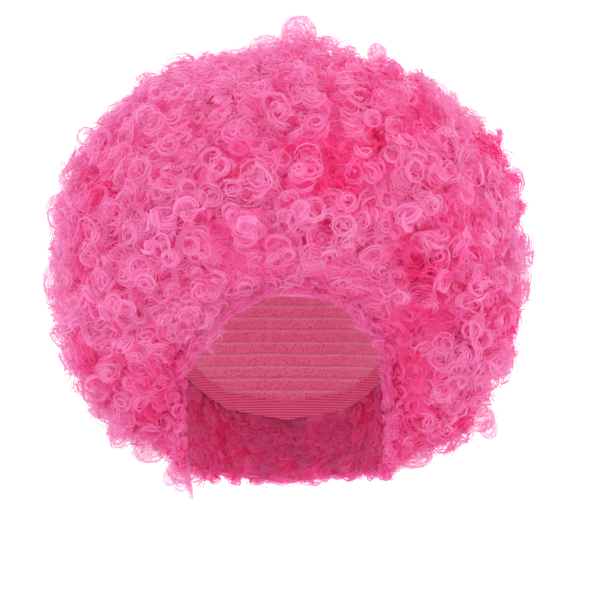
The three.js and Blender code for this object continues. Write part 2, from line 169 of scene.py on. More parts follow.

# The fibre's colours, from painted shade in crevices and at the roots to painted light on puffs and at the
# tips, the palest strands, partly random tone and partly painted sheen, and the depths, whose darker pinks
# are painted shade
SHADED_PINK = (0.99, 0.10, 0.46)
HALF_LIT_PINK = (0.99, 0.27, 0.67)
LIT_PINK = (0.99, 0.47, 0.78)
PALE_PINK = (0.99, 0.60, 0.84)
DEPTH_SHADE_PINKS = ((0.99, 0.10, 0.38), (0.99, 0.23, 0.58))
SKY_STRENGTH = 1.14
FLOOR_HALF = 6.0

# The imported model's loose curls: root and normal, then the coil's reach, radius, thickness and
# turns, and for all of them how they taper and how long their root is
LOOSE_CURLS = [
    ((17.1, 13.8, 100.7), (0.076, 0.127, 0.989), 15.3, 7.1, 6.1, 1.5),
    ((68.1, 26.2, 87.8), (0.309, 0.127, 0.943), 10.2, 6.1, 4.6, 1.3),
    ((131.1, -10.3, -156.9), (0.987, -0.152, -0.06), 15.3, 6.1, 5.1, 1.3),
    ((-5.2, 146.6, 33.6), (-0.079, 0.8, 0.594), 14.0, 6.4, 5.1, 1.3),
]
LOOSE_TAPER = 0.45
LOOSE_ROOT = 12 * MM

# Tufts of thin loops, which light shines through: section, middle, half sizes and strands
TUFTS = [
    ("hair_crown", (10, 10, 107), (12.5, 10, 13), 64),
    ("hair_crown", (4, 9, 101), (10, 8, 9), 34),
    ("hair_crown", (-13, 6, 98), (12, 8, 8), 40),
    ("hair_crown", (29, 8, 100), (9, 8, 6), 26),
    ("hair_crown", (64, 24, 93), (7, 7, 9), 44),
    ("hair_crown", (104, 20, 69), (9, 8, 6), 24),
    ("hair_crown", (114, 18, 62), (7, 8, 5), 18),
    ("hair_crown", (-106, 12, 56), (9, 8, 8), 22),
    ("hair_left", (143, 8, 32), (9, 8, 8), 26),
    ("hair_left", (158, 6, 4), (8, 9, 11), 28),
    ("hair_left", (163, 4, -62), (7, 8, 12), 24),
    ("hair_left", (134, -10, -160), (11, 8, 9), 50),
    ("hair_left", (140, -10, -167), (6, 6, 7), 20),
    ("hair_left", (88, -12, -185), (14, 10, 9), 60),
    ("hair_right", (-150, 6, 6), (8, 8, 8), 26),
    ("hair_right", (-157, 4, -14), (8, 8, 9), 24),
    ("hair_right", (-162, 4, -66), (6, 8, 12), 22),
    ("hair_right", (-93, -12, -182), (12, 9, 8), 46),
    ("hair_right", (-70, -8, -195), (12, 11, 10), 56),
    ("hair_right", (-64, -6, -202), (6, 7, 9), 20),
    ("hair_right", (-64, -6, -210), (3, 4, 6), 10),
    ("hair_right", (-72, -8, -204), (6, 7, 6), 14),
    ("hair_right", (-79, -8, -200), (5, 7, 6), 12),
    ("hair_back", (-5, 150, 38), (9, 8, 9), 40),
    ("hair_back", (60, 146, -38), (9, 8, 9), 26),
    ("hair_back", (-94, 118, -20), (9, 8, 9), 26),
]
TUFT_STEPS = 18
TUFT_SHELLS = (0.55, 0.8, 0.95, 1.0)
TUFT_TURNS = (0.8, 1.4)
TUFT_SPREAD = (0, 0.8 * MM)
TUFT_WIDTH = (0.22 * MM, 0.36 * MM)
# Their pale tone is painted light, for the light that shines through them
TUFT_TONE = 1.05

# Wisps that hang free: section, seat, axis, length, radius, turns and strands
WISPS = [
    ("hair_fringe", (-56, -86, -84), (0.35, -0.25, -0.9), 27, 5.0, 3.4, 12),
    ("hair_fringe", (-46, -90, -86), (0.25, -0.2, -0.95), 22, 4.0, 2.6, 9),
    ("hair_fringe", (-62, -82, -90), (0.5, -0.3, -0.8), 30, 4.5, 3.0, 10),
    ("hair_fringe", (62, -82, -88), (-0.75, -0.3, -0.45), 20, 2.5, 1.6, 5),
]
WISP_STEPS = 30
WISP_ROOT = 8 * MM
WISP_SPREAD = (0, 3 * MM)
WISP_WIDTH = (0.25 * MM, 0.5 * MM)
# Wisp tone runs from painted shade at the root to painted light at the tip
WISP_TONES = (0.6, 1.1)

# The head's hollow, which no hair may enter: its half sizes, and below the girth the share
# of the neck's drop, of the half width and of the half length behind. A point in it is moved
# out past its wall, by this share of how far in it lay and by no more than the room there.
GIRTH_Z = -98 * MM
HEAD_HALF = np.array([79.0, 100.0, 100.0]) * MM
NECK_DROP = 130 * MM
NECK = np.array([(0, 1, 1), (0.27, 1, 0.97), (0.54, 0.92, 0.85), (0.77, 0.82, 0.7), (1, 0.78, 0.62)])
HOLLOW_SHARE = 0.6
HOLLOW_ROOM = 0.08


# Helpers for arrays of vectors
def unit(v):
    return v / np.maximum(np.linalg.norm(v, axis=-1, keepdims=True), 1e-12)


def dot(a, b):
    return np.sum(a * b, axis=-1, keepdims=True)


def across(axis):
    """Two unit vectors square to each axis and to each other."""
    other = np.where(np.abs(axis[..., 2:3]) > 0.9, [1.0, 0.0, 0.0], [0.0, 0.0, 1.0])
    first = unit(np.cross(axis, other))
    return first, np.cross(axis, first)


def between(pair, count):
    return rng.uniform(pair[0], pair[1], count)


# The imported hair's surface
def triangles_of(name):
    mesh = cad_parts[name].data
    mesh.calc_loop_triangles()
    points = np.zeros(len(mesh.vertices) * 3)
    mesh.vertices.foreach_get("co", points)
    corners = np.zeros(len(mesh.loop_triangles) * 3, int)
    mesh.loop_triangles.foreach_get("vertices", corners)
    return points.reshape(-1, 3), corners.reshape(-1, 3)


class Surface:
    """The hair's outer faces, with a smoothed normal for any place on them."""

    def __init__(self):
        points, faces, owner, start = [], [], [], 0
        for i, name in enumerate(SECTIONS + ["wig_cap"]):
            p, f = triangles_of(name)
            points.append(p)
            faces.append(f + start)
            owner.append(np.full(len(f), i))
            start += len(p)
        self.points = np.concatenate(points)
        faces = np.concatenate(faces)
        owner = np.concatenate(owner)
        self.of_hair = owner < len(SECTIONS)
        self.tree = BVHTree.FromPolygons(self.points.tolist(), faces.tolist())
        a, b, c = (self.points[faces[:, k]] for k in range(3))
        normal = np.cross(b - a, c - a)
        area = np.linalg.norm(normal, axis=1) / 2
        normal = unit(normal)
        centre = (a + b + c) / 3
        shown = [
            owner[i] < len(SECTIONS) and area[i] > 0 and self.is_free(centre[i], normal[i])
            for i in range(len(faces))
        ]
        keep = np.flatnonzero(shown)
        self.corners = np.stack([a, b, c], 1)[keep]
        self.owner, self.area = owner[keep], area[keep]
        self.normal, self.centre = normal[keep], centre[keep]
        self.grows = ~is_loose(self.centre)

    def is_free(self, centre, normal):
        """False where a section's wall or underside lies against the next piece."""
        start = Vector(centre + normal * 0.1 * MM)
        return self.tree.ray_cast(start, Vector(normal), WALL_GAP)[0] is None

    def smooth(self, places, own):
        """The smoothed normal at each place, and how far the place stands out of the smoothed hair."""
        normals, heights = np.zeros_like(places), np.zeros(len(places))
        for i in range(0, len(places), 400):
            some = slice(i, i + 400)
            gap = np.linalg.norm(places[some, None] - self.centre[None], axis=2)
            weight = self.area * np.exp(-((gap / SMOOTH_REACH) ** 2))
            weight *= (own[some] @ self.normal.T) > -0.3
            normals[some] = unit(weight @ self.normal)
            middle = weight @ self.centre / weight.sum(axis=1, keepdims=True)
            heights[some] = np.sum((places[some] - middle) * normals[some], axis=1)
        return normals, heights

    def thickness(self, places, normals):
        """How deep the hair is under each place, through the narrow gaps between its sections."""
        found = []
        for p, n in zip(places, normals):
            ray = Vector(-n)
            start = Vector(p) + ray * 1.0 * MM
            hit, _, face, depth = self.tree.ray_cast(start, ray, RAY_LENGTH)
            while hit is not None and self.of_hair[face]:
                entry, _, _, gap = self.tree.ray_cast(hit + ray * RAY_NUDGE, ray, GAP_LIMIT)
                if entry is None:
                    break
                hit, _, face, more = self.tree.ray_cast(entry + ray * RAY_NUDGE, ray, RAY_LENGTH)
                if hit is None or not self.of_hair[face]:
                    break
                depth += gap + more
            found.append(THIN_HAIR if depth is None else depth)
        return np.array(found)

    def scatter(self, apart, tries):
        """Places at least so far apart, and the faces that they lie on."""
        share = self.area * self.grows
        face = rng.choice(len(self.area), tries, p=share / share.sum())
        u, v = rng.random(tries), rng.random(tries)
        fold = u + v > 1
        u[fold], v[fold] = 1 - u[fold], 1 - v[fold]
        a, b, c = (self.corners[face, k] for k in range(3))
        place = a + u[:, None] * (b - a) + v[:, None] * (c - a)
        cells, kept = {}, []
        near = [(i, j, k) for i in (-1, 0, 1) for j in (-1, 0, 1) for k in (-1, 0, 1)]
        for n, (p, key) in enumerate(zip(place, np.floor(place / apart).astype(int))):
            x, y, z = key.tolist()
            others = [m for i, j, k in near for m in cells.get((x + i, y + j, z + k), ())]
            if others and np.min(np.sum((place[others] - p) ** 2, axis=1)) < apart**2:
                continue
            cells.setdefault((x, y, z), []).append(n)
            kept.append(n)
        return place[kept], face[kept]


# The head's hollow and the loose curls
def head_reach(p):
    """How far points are from the head's middle line, where 1 is the hollow's wall."""
    drop = np.clip((GIRTH_Z - p[..., 2]) / NECK_DROP, 0, 1)
    width, back = (np.interp(drop, NECK[:, 0], NECK[:, k]) for k in (1, 2))
    x = p[..., 0] / (HEAD_HALF[0] * width)
    y = p[..., 1] / (HEAD_HALF[1] * np.where(p[..., 1] < 0, 1, back))
    above = np.clip(p[..., 2] - GIRTH_Z, 0, None)
    return np.sqrt(x**2 + y**2 + (above / HEAD_HALF[2]) ** 2)


def clear_of_head(p):
    """Points, of which those in the head's hollow are moved out past its wall."""
    reach = head_reach(p)
    above = np.clip(p[..., 2] - GIRTH_Z, 0, None)
    target = 1 + np.clip(HOLLOW_SHARE * (1 - reach), 0, HOLLOW_ROOM)
    push = np.where(reach < 1, target / np.maximum(reach, 0.05), 1.0)
    out = p.copy()
    out[..., 0] *= push
    out[..., 1] *= push
    out[..., 2] += above * (push - 1)
    return out


def loose_paths():
    """Each loose curl's middle line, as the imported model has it, with its root, normal and thickness."""
    for root, normal, reach, radius, thick, turns in LOOSE_CURLS:
        root, normal = np.array(root) * MM, unit(np.array(normal))
        side = unit(np.cross([-normal[1], normal[0], normal[2]], normal))
        up = np.cross(normal, side)
        s = np.linspace(0, 1, 25)[:, None]
        turn = s * turns * 2 * math.pi
        wide = radius * MM * (1 - LOOSE_TAPER * s)
        rise = (reach * MM + LOOSE_ROOT) * s - LOOSE_ROOT
        line = root + rise * normal + wide * (np.cos(turn) * side + np.sin(turn) * up)
        yield root, normal, thick * MM, line


LOOSE = list(loose_paths())


def is_loose(places):
    """True for places on the part of a loose curl that stands out of the mass."""
    found = np.zeros(len(places), bool)
    for root, normal, thick, line in LOOSE:
        out = (places - root) @ normal > -1 * MM
        found |= out & (np.min(np.linalg.norm(places[:, None] - line[None], axis=2), axis=1) < 1.5 * thick)
    return found


# Ribbons and the coils that they follow
def bundle(line, radial, other, facing, strands, spread, width, tone, roll=ROLL, loosen=1.0):
    """Ribbons that follow each line within a spread: their points, sides, widths, tones and tints."""
    n, steps = line.shape[:2]
    s = np.linspace(0, 1, steps)[None, None]
    shape = (n, strands, 1)
    off = np.sqrt(rng.uniform(spread[0] ** 2, spread[1] ** 2, shape))
    turn = rng.uniform(0, 2 * math.pi, shape) + rng.normal(0, 1.2, shape) * s
    swell = 1 + 0.7 * s**6
    loosen = np.reshape(loosen, (-1, 1, 1))
    moves = []
    for way in (np.cos(turn), np.sin(turn)):
        move = off * swell * way
        for amount, waves in FRIZZ_WAVES:
            phase = waves * 2 * math.pi * s * rng.uniform(0.7, 1.3, shape)
            move = move + amount * np.sin(phase + rng.uniform(0, 6.3, shape))
        moves.append((move * loosen)[..., None])
    points = line[:, None] + moves[0] * radial[:, None] + moves[1] * other[:, None]
    points = clear_of_head(points)
    along = unit(np.gradient(points, axis=2))
    face = facing[:, None, None] + FACE_OUT * radial[:, None]
    face = unit(face - dot(face, along) * along)
    side = np.cross(along, face)
    angle = (rng.normal(0, roll, shape) + rng.normal(0, 0.3, shape) * s)[..., None]
    side = np.cos(angle) * side + np.sin(angle) * face
    taper = np.clip(np.minimum(s / 0.1, (1 - s) / 0.12), 0.25, 1)
    wide = rng.uniform(width[0], width[1], shape) * taper
    tone = np.broadcast_to(tone[:, None], (n, strands, steps))
    tint = np.clip(rng.random((n, 1, 1)) + rng.normal(0, 0.05, shape), 0, 1) + 0 * wide
    count = n * strands
    flat = [values.reshape(count, steps) for values in (wide, tone, tint)]
    return (points.reshape(count, steps, 3), side.reshape(count, steps, 3), *flat)


def helix(seat, axis, wide, rise, turns, ease=1.0):
    """Middle lines of coils, with the two axes across each: wide and rise go along the line."""
    n, steps = wide.shape
    s = np.linspace(0, 1, steps)[None] ** ease
    e1, e2 = across(axis)
    hand = rng.choice([-1.0, 1.0], (n, 1))
    angle = rng.uniform(0, 2 * math.pi, (n, 1)) + hand * 2 * math.pi * turns[:, None] * s
    radial = np.cos(angle)[..., None] * e1[:, None] + np.sin(angle)[..., None] * e2[:, None]
    line = seat[:, None] + wide[..., None] * radial + rise[..., None] * axis[:, None]
    return line, radial, np.broadcast_to(axis[:, None], radial.shape)


def tilted(normal, spread):
    """Axes that lean from the normals by random angles."""
    n = len(normal)
    first, second = across(normal)
    tilt = np.abs(rng.normal(0, spread, n))[:, None]
    way = rng.uniform(0, 2 * math.pi, n)[:, None]
    lean = np.cos(way) * first + np.sin(way) * second
    return unit(np.cos(tilt) * normal + np.sin(tilt) * lean)


def that_fits(radius, least, deep):
    """Radii cut down where the hair is thin."""
    return np.minimum(radius, least + DEPTH_SHARE * deep)


def curls(seat, normal, deep, crest):
    """Ringlets that stand in the hair, their open ends outwards: a core of strands and a thin halo."""
    n = len(seat)
    axis = tilted(normal, CURL_TILT)
    radius = between(CURL_RADIUS, n) * rng.choice(CURL_SIZES, n)
    radius = that_fits(radius, 3 * MM, deep)
    length = np.minimum(between(CURL_LENGTH, n), deep * 0.7)
    thick = np.clip(deep / THICK_HAIR, 0, 1)
    lean = np.linalg.norm(np.cross(axis, normal), axis=1)
    out = between(CURL_OUT, n) * thick + 1.0 * MM * (1 - thick) - LEAN_SINK * radius * lean
    tight = rng.choice(CURL_CLOSING, n)[:, None]
    turns = between(CURL_TURNS, n)
    loosen = rng.choice(LOOSENESS, n)
    parts = []
    # Core and halo start from the same state, so that they follow the same coils
    state = rng.bit_generator.state
    for strands, steps, spread, width, lift in (
        (CORE_STRANDS, CURL_STEPS, CORE_SPREAD, CORE_WIDTH, 0.0),
        (HALO_STRANDS, HALO_STEPS, HALO_SPREAD, HALO_WIDTH, 0.02),
    ):
        rng.bit_generator.state = state
        s = np.linspace(0, 1, steps + 1)[None] ** CURL_EASE
        close = np.clip((s - 0.55) / 0.45, 0, 1)
        wide = radius[:, None] * (1 - 0.22 * (1 - s) ** 2 - tight * close**1.3)
        rise = out[:, None] - length[:, None] * (1 - s) ** 1.5
        line, radial, other = helix(seat, axis, wide, rise, turns, CURL_EASE)
        # Tone: the spot's painted light and shade, lighter towards the coil's open end as a painted
        # highlight on the ring, and a little lighter in the halo
        tone = (0.85 + 0.15 * s + lift) * crest[:, None]
        parts.append(bundle(line, radial, other, normal, strands, spread, width, tone, ROLL, loosen))
    return parts


def filling(seat, normal, deep, crest):
    """Wide locks under the curls, which close the gaps between them."""
    n = len(seat)
    axis = tilted(normal, 0.6 * CURL_TILT)
    s = np.linspace(0, 1, FILL_STEPS + 1)[None]
    wide = that_fits(between(FILL_RADIUS, n), 2 * MM, deep)[:, None]
    wide = np.broadcast_to(wide, (n, FILL_STEPS + 1))
    low = np.minimum(FILL_LOW, 0.6 * deep)[:, None]
    lean = np.linalg.norm(np.cross(axis, normal), axis=1)[:, None]
    rise = -low + 0.5 * low * s - LEAN_SINK * wide * lean
    line, radial, other = helix(seat, axis, wide, rise, between(FILL_TURNS, n))
    # Tone: the spot's painted light and shade, darker than the ringlets as painted shade in the gaps
    tone = (0.75 + 0.15 * s) * crest[:, None]
    return [bundle(line, radial, other, normal, FILL_STRANDS, FILL_SPREAD, FILL_WIDTH, tone)]


def edge_curls(surface, section):
    """Short thin curls on a section's lip round the opening, which soften it and hide its corners."""
    lip = np.flatnonzero((head_reach(surface.centre) < LIP_REACH) & (surface.owner == section))
    area = surface.area[lip].sum()
    n = int(area / LIP_APART**2)
    if n == 0:
        return []
    face = rng.choice(lip, n, p=surface.area[lip] / area)
    share = rng.dirichlet((1, 1, 1), n)
    seat = np.sum(surface.corners[face] * share[..., None], axis=1)
    outward = surface.normal[face]
    axis = tilted(outward, CURL_TILT)
    s = np.linspace(0, 1, LIP_STEPS)[None]
    wide = between(LIP_RADIUS, n)[:, None] * (1 - 0.3 * s)
    rise = between(LIP_RISE, n)[:, None] * s
    line, radial, other = helix(seat, axis, wide, rise, between(LIP_TURNS, n))
    # Tone: painted shade, darker at the root in the opening and lighter towards the tip
    tone = np.broadcast_to(0.35 + 0.4 * s, wide.shape)
    return [bundle(line, radial, other, outward, LIP_STRANDS, LIP_SPREAD, LIP_WIDTH, tone)]


def flyaways(seat, normal):
    """Single hairs that arch over the curls."""
    n = len(seat)
    s = np.linspace(0, 1, FLY_STEPS + 1)[None]
    axis = tilted(normal, FLY_TILT)
    wide = between(FLY_RADIUS, n)[:, None] * (0.85 + 0.15 * s)
    rise = between(FLY_START, n)[:, None] + between(FLY_RISE, n)[:, None] * s
    line, radial, other = helix(seat, axis, wide, rise, between(FLY_TURNS, n))
    tone = np.full_like(wide, FLY_TONE)
    return [bundle(line, radial, other, normal, 1, FLY_SPREAD, FLY_WIDTH, tone, HAIR_ROLL)]


def tuft(place, half, strands):
    """A thin puff of single loops, which lie on shells inside each other."""
    s = np.linspace(0, 1, TUFT_STEPS + 1)[None]
    axis = unit(rng.normal(0, 1, (strands, 3)))
    shell = rng.choice(TUFT_SHELLS, (strands, 1)) * (1 - 0.1 * s)
    middle = np.zeros((strands, 3))
    line, radial, other = helix(middle, axis, shell, 0.5 * (s - 0.5) * shell, between(TUFT_TURNS, strands))
    line = np.array(place) * MM + line * np.array(half) * MM
    tone = np.full((strands, TUFT_STEPS + 1), TUFT_TONE)
    return bundle(line, radial, other, axis, 1, TUFT_SPREAD, TUFT_WIDTH, tone, HAIR_ROLL)


def free_curls(section):
    """The tufts and wisps of a section."""
    parts = [tuft(*row) for owner, *row in TUFTS if owner == section]
    for owner, place, axis, length, radius, turns, strands in WISPS:
        if owner != section:
            continue
        s = np.linspace(0, 1, WISP_STEPS)[None]
        wide = radius * MM * (1 - 0.35 * s)
        rise = (length * MM + WISP_ROOT) * s - WISP_ROOT
        seat, axis = np.array([place]) * MM, unit(np.array([axis]))
        line, radial, other = helix(seat, axis, wide, rise, np.array([turns]))
        tone = np.linspace(*WISP_TONES, WISP_STEPS)[None]
        front = np.array([[0.0, -1.0, 0.0]])
        parts.append(bundle(line, radial, other, front, strands, WISP_SPREAD, WISP_WIDTH, tone))
    return parts


def ribbon_mesh(name, parts):
    """One mesh of flat ribbons, with tone, the painted light and shade, stored as 'depth', and tint as
    attributes and a cell of the UV map for each.
    """
    verts, quads, depths, tints, corners, base = [], [], [], [], [], 0
    total = sum(len(p[0]) for p in parts)
    columns = math.ceil(math.sqrt(total))
    cell = 1 / columns
    done = 0
    for points, side, width, depth, tint in parts:
        count, steps = points.shape[:2]
        half = side * width[..., None] / 2
        pair = np.stack([points - half, points + half], axis=2)
        verts.append(pair.reshape(-1, 3))
        left = np.arange(count * steps).reshape(count, steps)[:, :-1] * 2 + base
        quads.append(np.stack([left, left + 1, left + 3, left + 2], -1).reshape(-1, 4))
        depths.append(np.repeat(depth.reshape(-1), 2))
        tints.append(np.repeat(tint.reshape(-1), 2))
        order = np.arange(count) + done
        u0 = (order % columns) * cell
        v0 = (order // columns) * cell
        u = u0[:, None] + cell * np.linspace(0.1, 0.9, steps)[None]
        low, high = v0 + 0.15 * cell, v0 + 0.85 * cell
        low, high = (np.repeat(v[:, None], steps, 1) for v in (low, high))
        uv = np.stack([np.stack([u, low], -1), np.stack([u, high], -1)], 2)
        corners.append(uv.reshape(-1, 2))
        base += count * steps * 2
        done += count
    verts, quads = np.concatenate(verts), np.concatenate(quads)
    mesh = bpy.data.meshes.new(name)
    mesh.vertices.add(len(verts))
    mesh.vertices.foreach_set("co", verts.ravel())
    mesh.loops.add(quads.size)
    mesh.loops.foreach_set("vertex_index", quads.ravel().astype(np.int32))
    mesh.polygons.add(len(quads))
    mesh.polygons.foreach_set("loop_start", np.arange(0, quads.size, 4, dtype=np.int32))
    mesh.polygons.foreach_set("use_smooth", np.ones(len(quads), bool))
    mesh.update()
    for label, values in (("depth", depths), ("tint", tints)):
        layer = mesh.attributes.new(label, "FLOAT", "POINT")
        layer.data.foreach_set("value", np.concatenate(values).astype(np.float32))
    layer = mesh.uv_layers.new(name="OFBake")
    layer.data.foreach_set("uv", np.concatenate(corners)[quads.ravel()].ravel())
    piece = bpy.data.objects.new(name, mesh)
    bpy.context.scene.collection.objects.link(piece)
    return piece


# Materials
class Nodes:
    """A material's nodes, made and linked in short calls."""

    def __init__(self, name):
        self.material = bpy.data.materials.new(name)
        self.material.use_nodes = True
        self.tree = self.material.node_tree
        self.shader = self.tree.nodes["Principled BSDF"]

    def add(self, kind, **settings):
        node = self.tree.nodes.new("ShaderNode" + kind)
        for key, value in settings.items():
            setattr(node, key, value)
        return node

    def link(self, source, target):
        self.tree.links.new(source, target)

    def attribute(self, name):
        return self.add("Attribute", attribute_name=name).outputs["Fac"]

    def ramp(self, source, stops):
        node = self.add("ValToRGB")
        self.link(source, node.inputs["Fac"])
        while len(node.color_ramp.elements) < len(stops):
            node.color_ramp.elements.new(0.5)
        for element, (at, colour) in zip(node.color_ramp.elements, stops):
            element.position = at
            element.color = (*colour, 1)
        return node.outputs["Color"]

    def mix(self, factor, first, second, blend="MIX"):
        node = self.add("Mix", data_type="RGBA", blend_type=blend)
        for socket, value in ((0, factor), (6, first), (7, second)):
            if isinstance(value, bpy.types.NodeSocket):
                self.link(value, node.inputs[socket])
            else:
                node.inputs[socket].default_value = value if socket == 0 else (*value, 1)
        return node.outputs[2]

    def math(self, kind, first, second):
        node = self.add("Math", operation=kind)
        for socket, value in zip(node.inputs, (first, second)):
            if isinstance(value, bpy.types.NodeSocket):
                self.link(value, socket)
            else:
                socket.default_value = value
        return node.outputs[0]

    def noise(self, scale, detail=2.0):
        place = self.add("TexCoord").outputs["Object"]
        node = self.add("TexNoise")
        self.link(place, node.inputs["Vector"])
        node.inputs["Scale"].default_value = scale
        node.inputs["Detail"].default_value = detail
        return node.outputs["Fac"]

    def bump(self, height, distance, strength=1.0):
        node = self.add("Bump")
        node.inputs["Distance"].default_value = distance
        node.inputs["Strength"].default_value = strength
        self.link(height, node.inputs["Height"])
        self.link(node.outputs["Normal"], self.shader.inputs["Normal"])


def hair_material():
    n = Nodes("pink_fibre")
    # The 'depth' attribute carries painted light and shade: the ramp runs from shaded pink in crevices and
    # at roots to lit pink on puffs and at tips
    tone = n.ramp(n.attribute("depth"), [(0.0, SHADED_PINK), (0.4, HALF_LIT_PINK), (1.0, LIT_PINK)])
    # Paler strands, chosen at random by tint and noise: partly random tone and partly painted sheen
    pale_and_sheen = n.math("POWER", n.attribute("tint"), 2.0)
    patches = n.math("MULTIPLY", n.noise(28.0), 0.4)
    tone = n.mix(n.math("MULTIPLY", pale_and_sheen, patches), tone, PALE_PINK)
    n.link(tone, n.shader.inputs["Base Color"])
    n.shader.inputs["Roughness"].default_value = 0.5
    n.shader.inputs["Specular IOR Level"].default_value = 0.18
    through = n.add("BsdfTranslucent")
    n.link(tone, through.inputs["Color"])
    both = n.add("MixShader")
    both.inputs[0].default_value = 0.7
    n.link(n.shader.outputs[0], both.inputs[1])
    n.link(through.outputs[0], both.inputs[2])
    n.link(both.outputs[0], n.tree.nodes["Material Output"].inputs["Surface"])
    return n.material


def mass_material():
    n = Nodes("pink_fibre_painted_shade")
    # The depths' darker pinks are painted shade under the curls, mixed at random
    tone = n.mix(n.noise(160.0, 4.0), *DEPTH_SHADE_PINKS)
    n.link(tone, n.shader.inputs["Base Color"])
    n.shader.inputs["Roughness"].default_value = 0.8
    n.bump(n.noise(900.0, 3.0), 1.5 * MM)
    return n.material


def net_material():
    """Stretch net with rows of sewn wefts."""
    n = Nodes("knitted_net")
    place = n.add("TexCoord").outputs["Object"]
    rows = n.add("TexWave", wave_type="BANDS", bands_direction="Z")
    n.link(place, rows.inputs["Vector"])
    rows.inputs["Scale"].default_value = 36.0
    rows.inputs["Distortion"].default_value = 0.6
    weft = n.math("POWER", rows.outputs["Fac"], 6.0)
    mesh = n.add("TexVoronoi", feature="DISTANCE_TO_EDGE")
    n.link(place, mesh.inputs["Vector"])
    mesh.inputs["Scale"].default_value = 420.0
    knit = n.math("MINIMUM", n.math("MULTIPLY", mesh.outputs["Distance"], 3.0), 1.0)
    tone = n.mix(knit, (0.93, 0.30, 0.52), (0.90, 0.11, 0.33))
    tone = n.mix(weft, tone, (0.95, 0.36, 0.60))
    n.link(tone, n.shader.inputs["Base Color"])
    n.shader.inputs["Roughness"].default_value = 0.85
    n.shader.inputs["Sheen Weight"].default_value = 0.3
    n.bump(n.math("SUBTRACT", weft, n.math("MULTIPLY", knit, 0.4)), 0.8 * MM)
    return n.material


def elastic_material():
    n = Nodes("ribbed_elastic")
    place = n.add("TexCoord").outputs["Object"]
    ribs = n.add("TexWave", wave_type="BANDS", bands_direction="Z")
    n.link(place, ribs.inputs["Vector"])
    ribs.inputs["Scale"].default_value = 170.0
    tone = n.mix(ribs.outputs["Fac"], (0.80, 0.07, 0.24), (0.93, 0.22, 0.44))
    n.link(tone, n.shader.inputs["Base Color"])
    n.shader.inputs["Roughness"].default_value = 0.7
    n.bump(ribs.outputs["Fac"], 0.5 * MM)
    return n.material


# Pieces
def dress(piece, material, slot, *nodes):
    piece.data.materials.clear()
    piece.data.materials.append(material)
    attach(piece, "root")
    if nodes:
        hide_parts(*nodes)


def shared_places(points):
    """A number for each place that points share, in meshes where faces don't share their corners."""
    keys = np.round(points / (0.02 * MM)).astype(int)
    return np.unique(keys, axis=0, return_inverse=True)[1].ravel()


def evened(moves, faces, place, moved):
    """Each moved point's move, drawn towards its moved neighbours' so that no corner stands out."""
    count = place.max() + 1
    free = np.zeros(count, bool)
    free[place[moved]] = True
    spot = np.zeros((count, 3))
    spot[place[moved]] = moves
    first = place[faces].ravel()
    second = place[np.roll(faces, 1, axis=1)].ravel()
    both = free[first] & free[second]
    first, second = np.append(first[both], second[both]), np.append(second[both], first[both])
    joins = np.maximum(np.bincount(first, minlength=count), 1)[:, None]
    for _ in range(EVEN_ROUNDS):
        sums = np.zeros((count, 3))
        np.add.at(sums, first, spot[second])
        spot = (1 - EVEN_SHARE) * spot + EVEN_SHARE * sums / joins
    return spot[place[moved]]


def hair_mass(name, surface, material):
    """What lies under the curls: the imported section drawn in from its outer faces."""
    points, faces = triangles_of(name)
    rim = surface.corners.reshape(-1, 3)
    place = shared_places(np.concatenate([points, rim]))
    sums = np.zeros((place.max() + 1, 3))
    np.add.at(sums, place[len(points):], np.repeat(surface.normal * surface.area[:, None], 3, axis=0))
    towards = sums[place[:len(points)]]
    moved = np.linalg.norm(towards, axis=1) > 0
    inward, height = surface.smooth(points[moved], unit(towards[moved]))
    deep = surface.thickness(points[moved], inward)
    draw = np.clip(MASS_BELOW + height, MASS_LEAST, None)
    draw = np.minimum(draw, np.interp(deep, MASS_DEPTHS, MASS_SHARES) * deep)
    points[moved] -= evened(inward * draw[:, None], faces, place[:len(points)], moved)
    for root, normal, thick, line in LOOSE:
        height = (points - root) @ normal
        near = np.min(np.linalg.norm(points[:, None] - line[None], axis=2), axis=1) < 2.5 * thick
        sunk = near & (height > -MASS_BELOW)
        points[sunk] -= (height[sunk, None] + MASS_BELOW) * normal
    mesh = bpy.data.meshes.new(name.replace("hair", "mass"))
    mesh.from_pydata(points.tolist(), [], faces.tolist())
    mesh.polygons.foreach_set("use_smooth", np.ones(len(faces), bool))
    piece = bpy.data.objects.new(mesh.name, mesh)
    bpy.context.scene.collection.objects.link(piece)
    dress(piece, material, "hair", name)


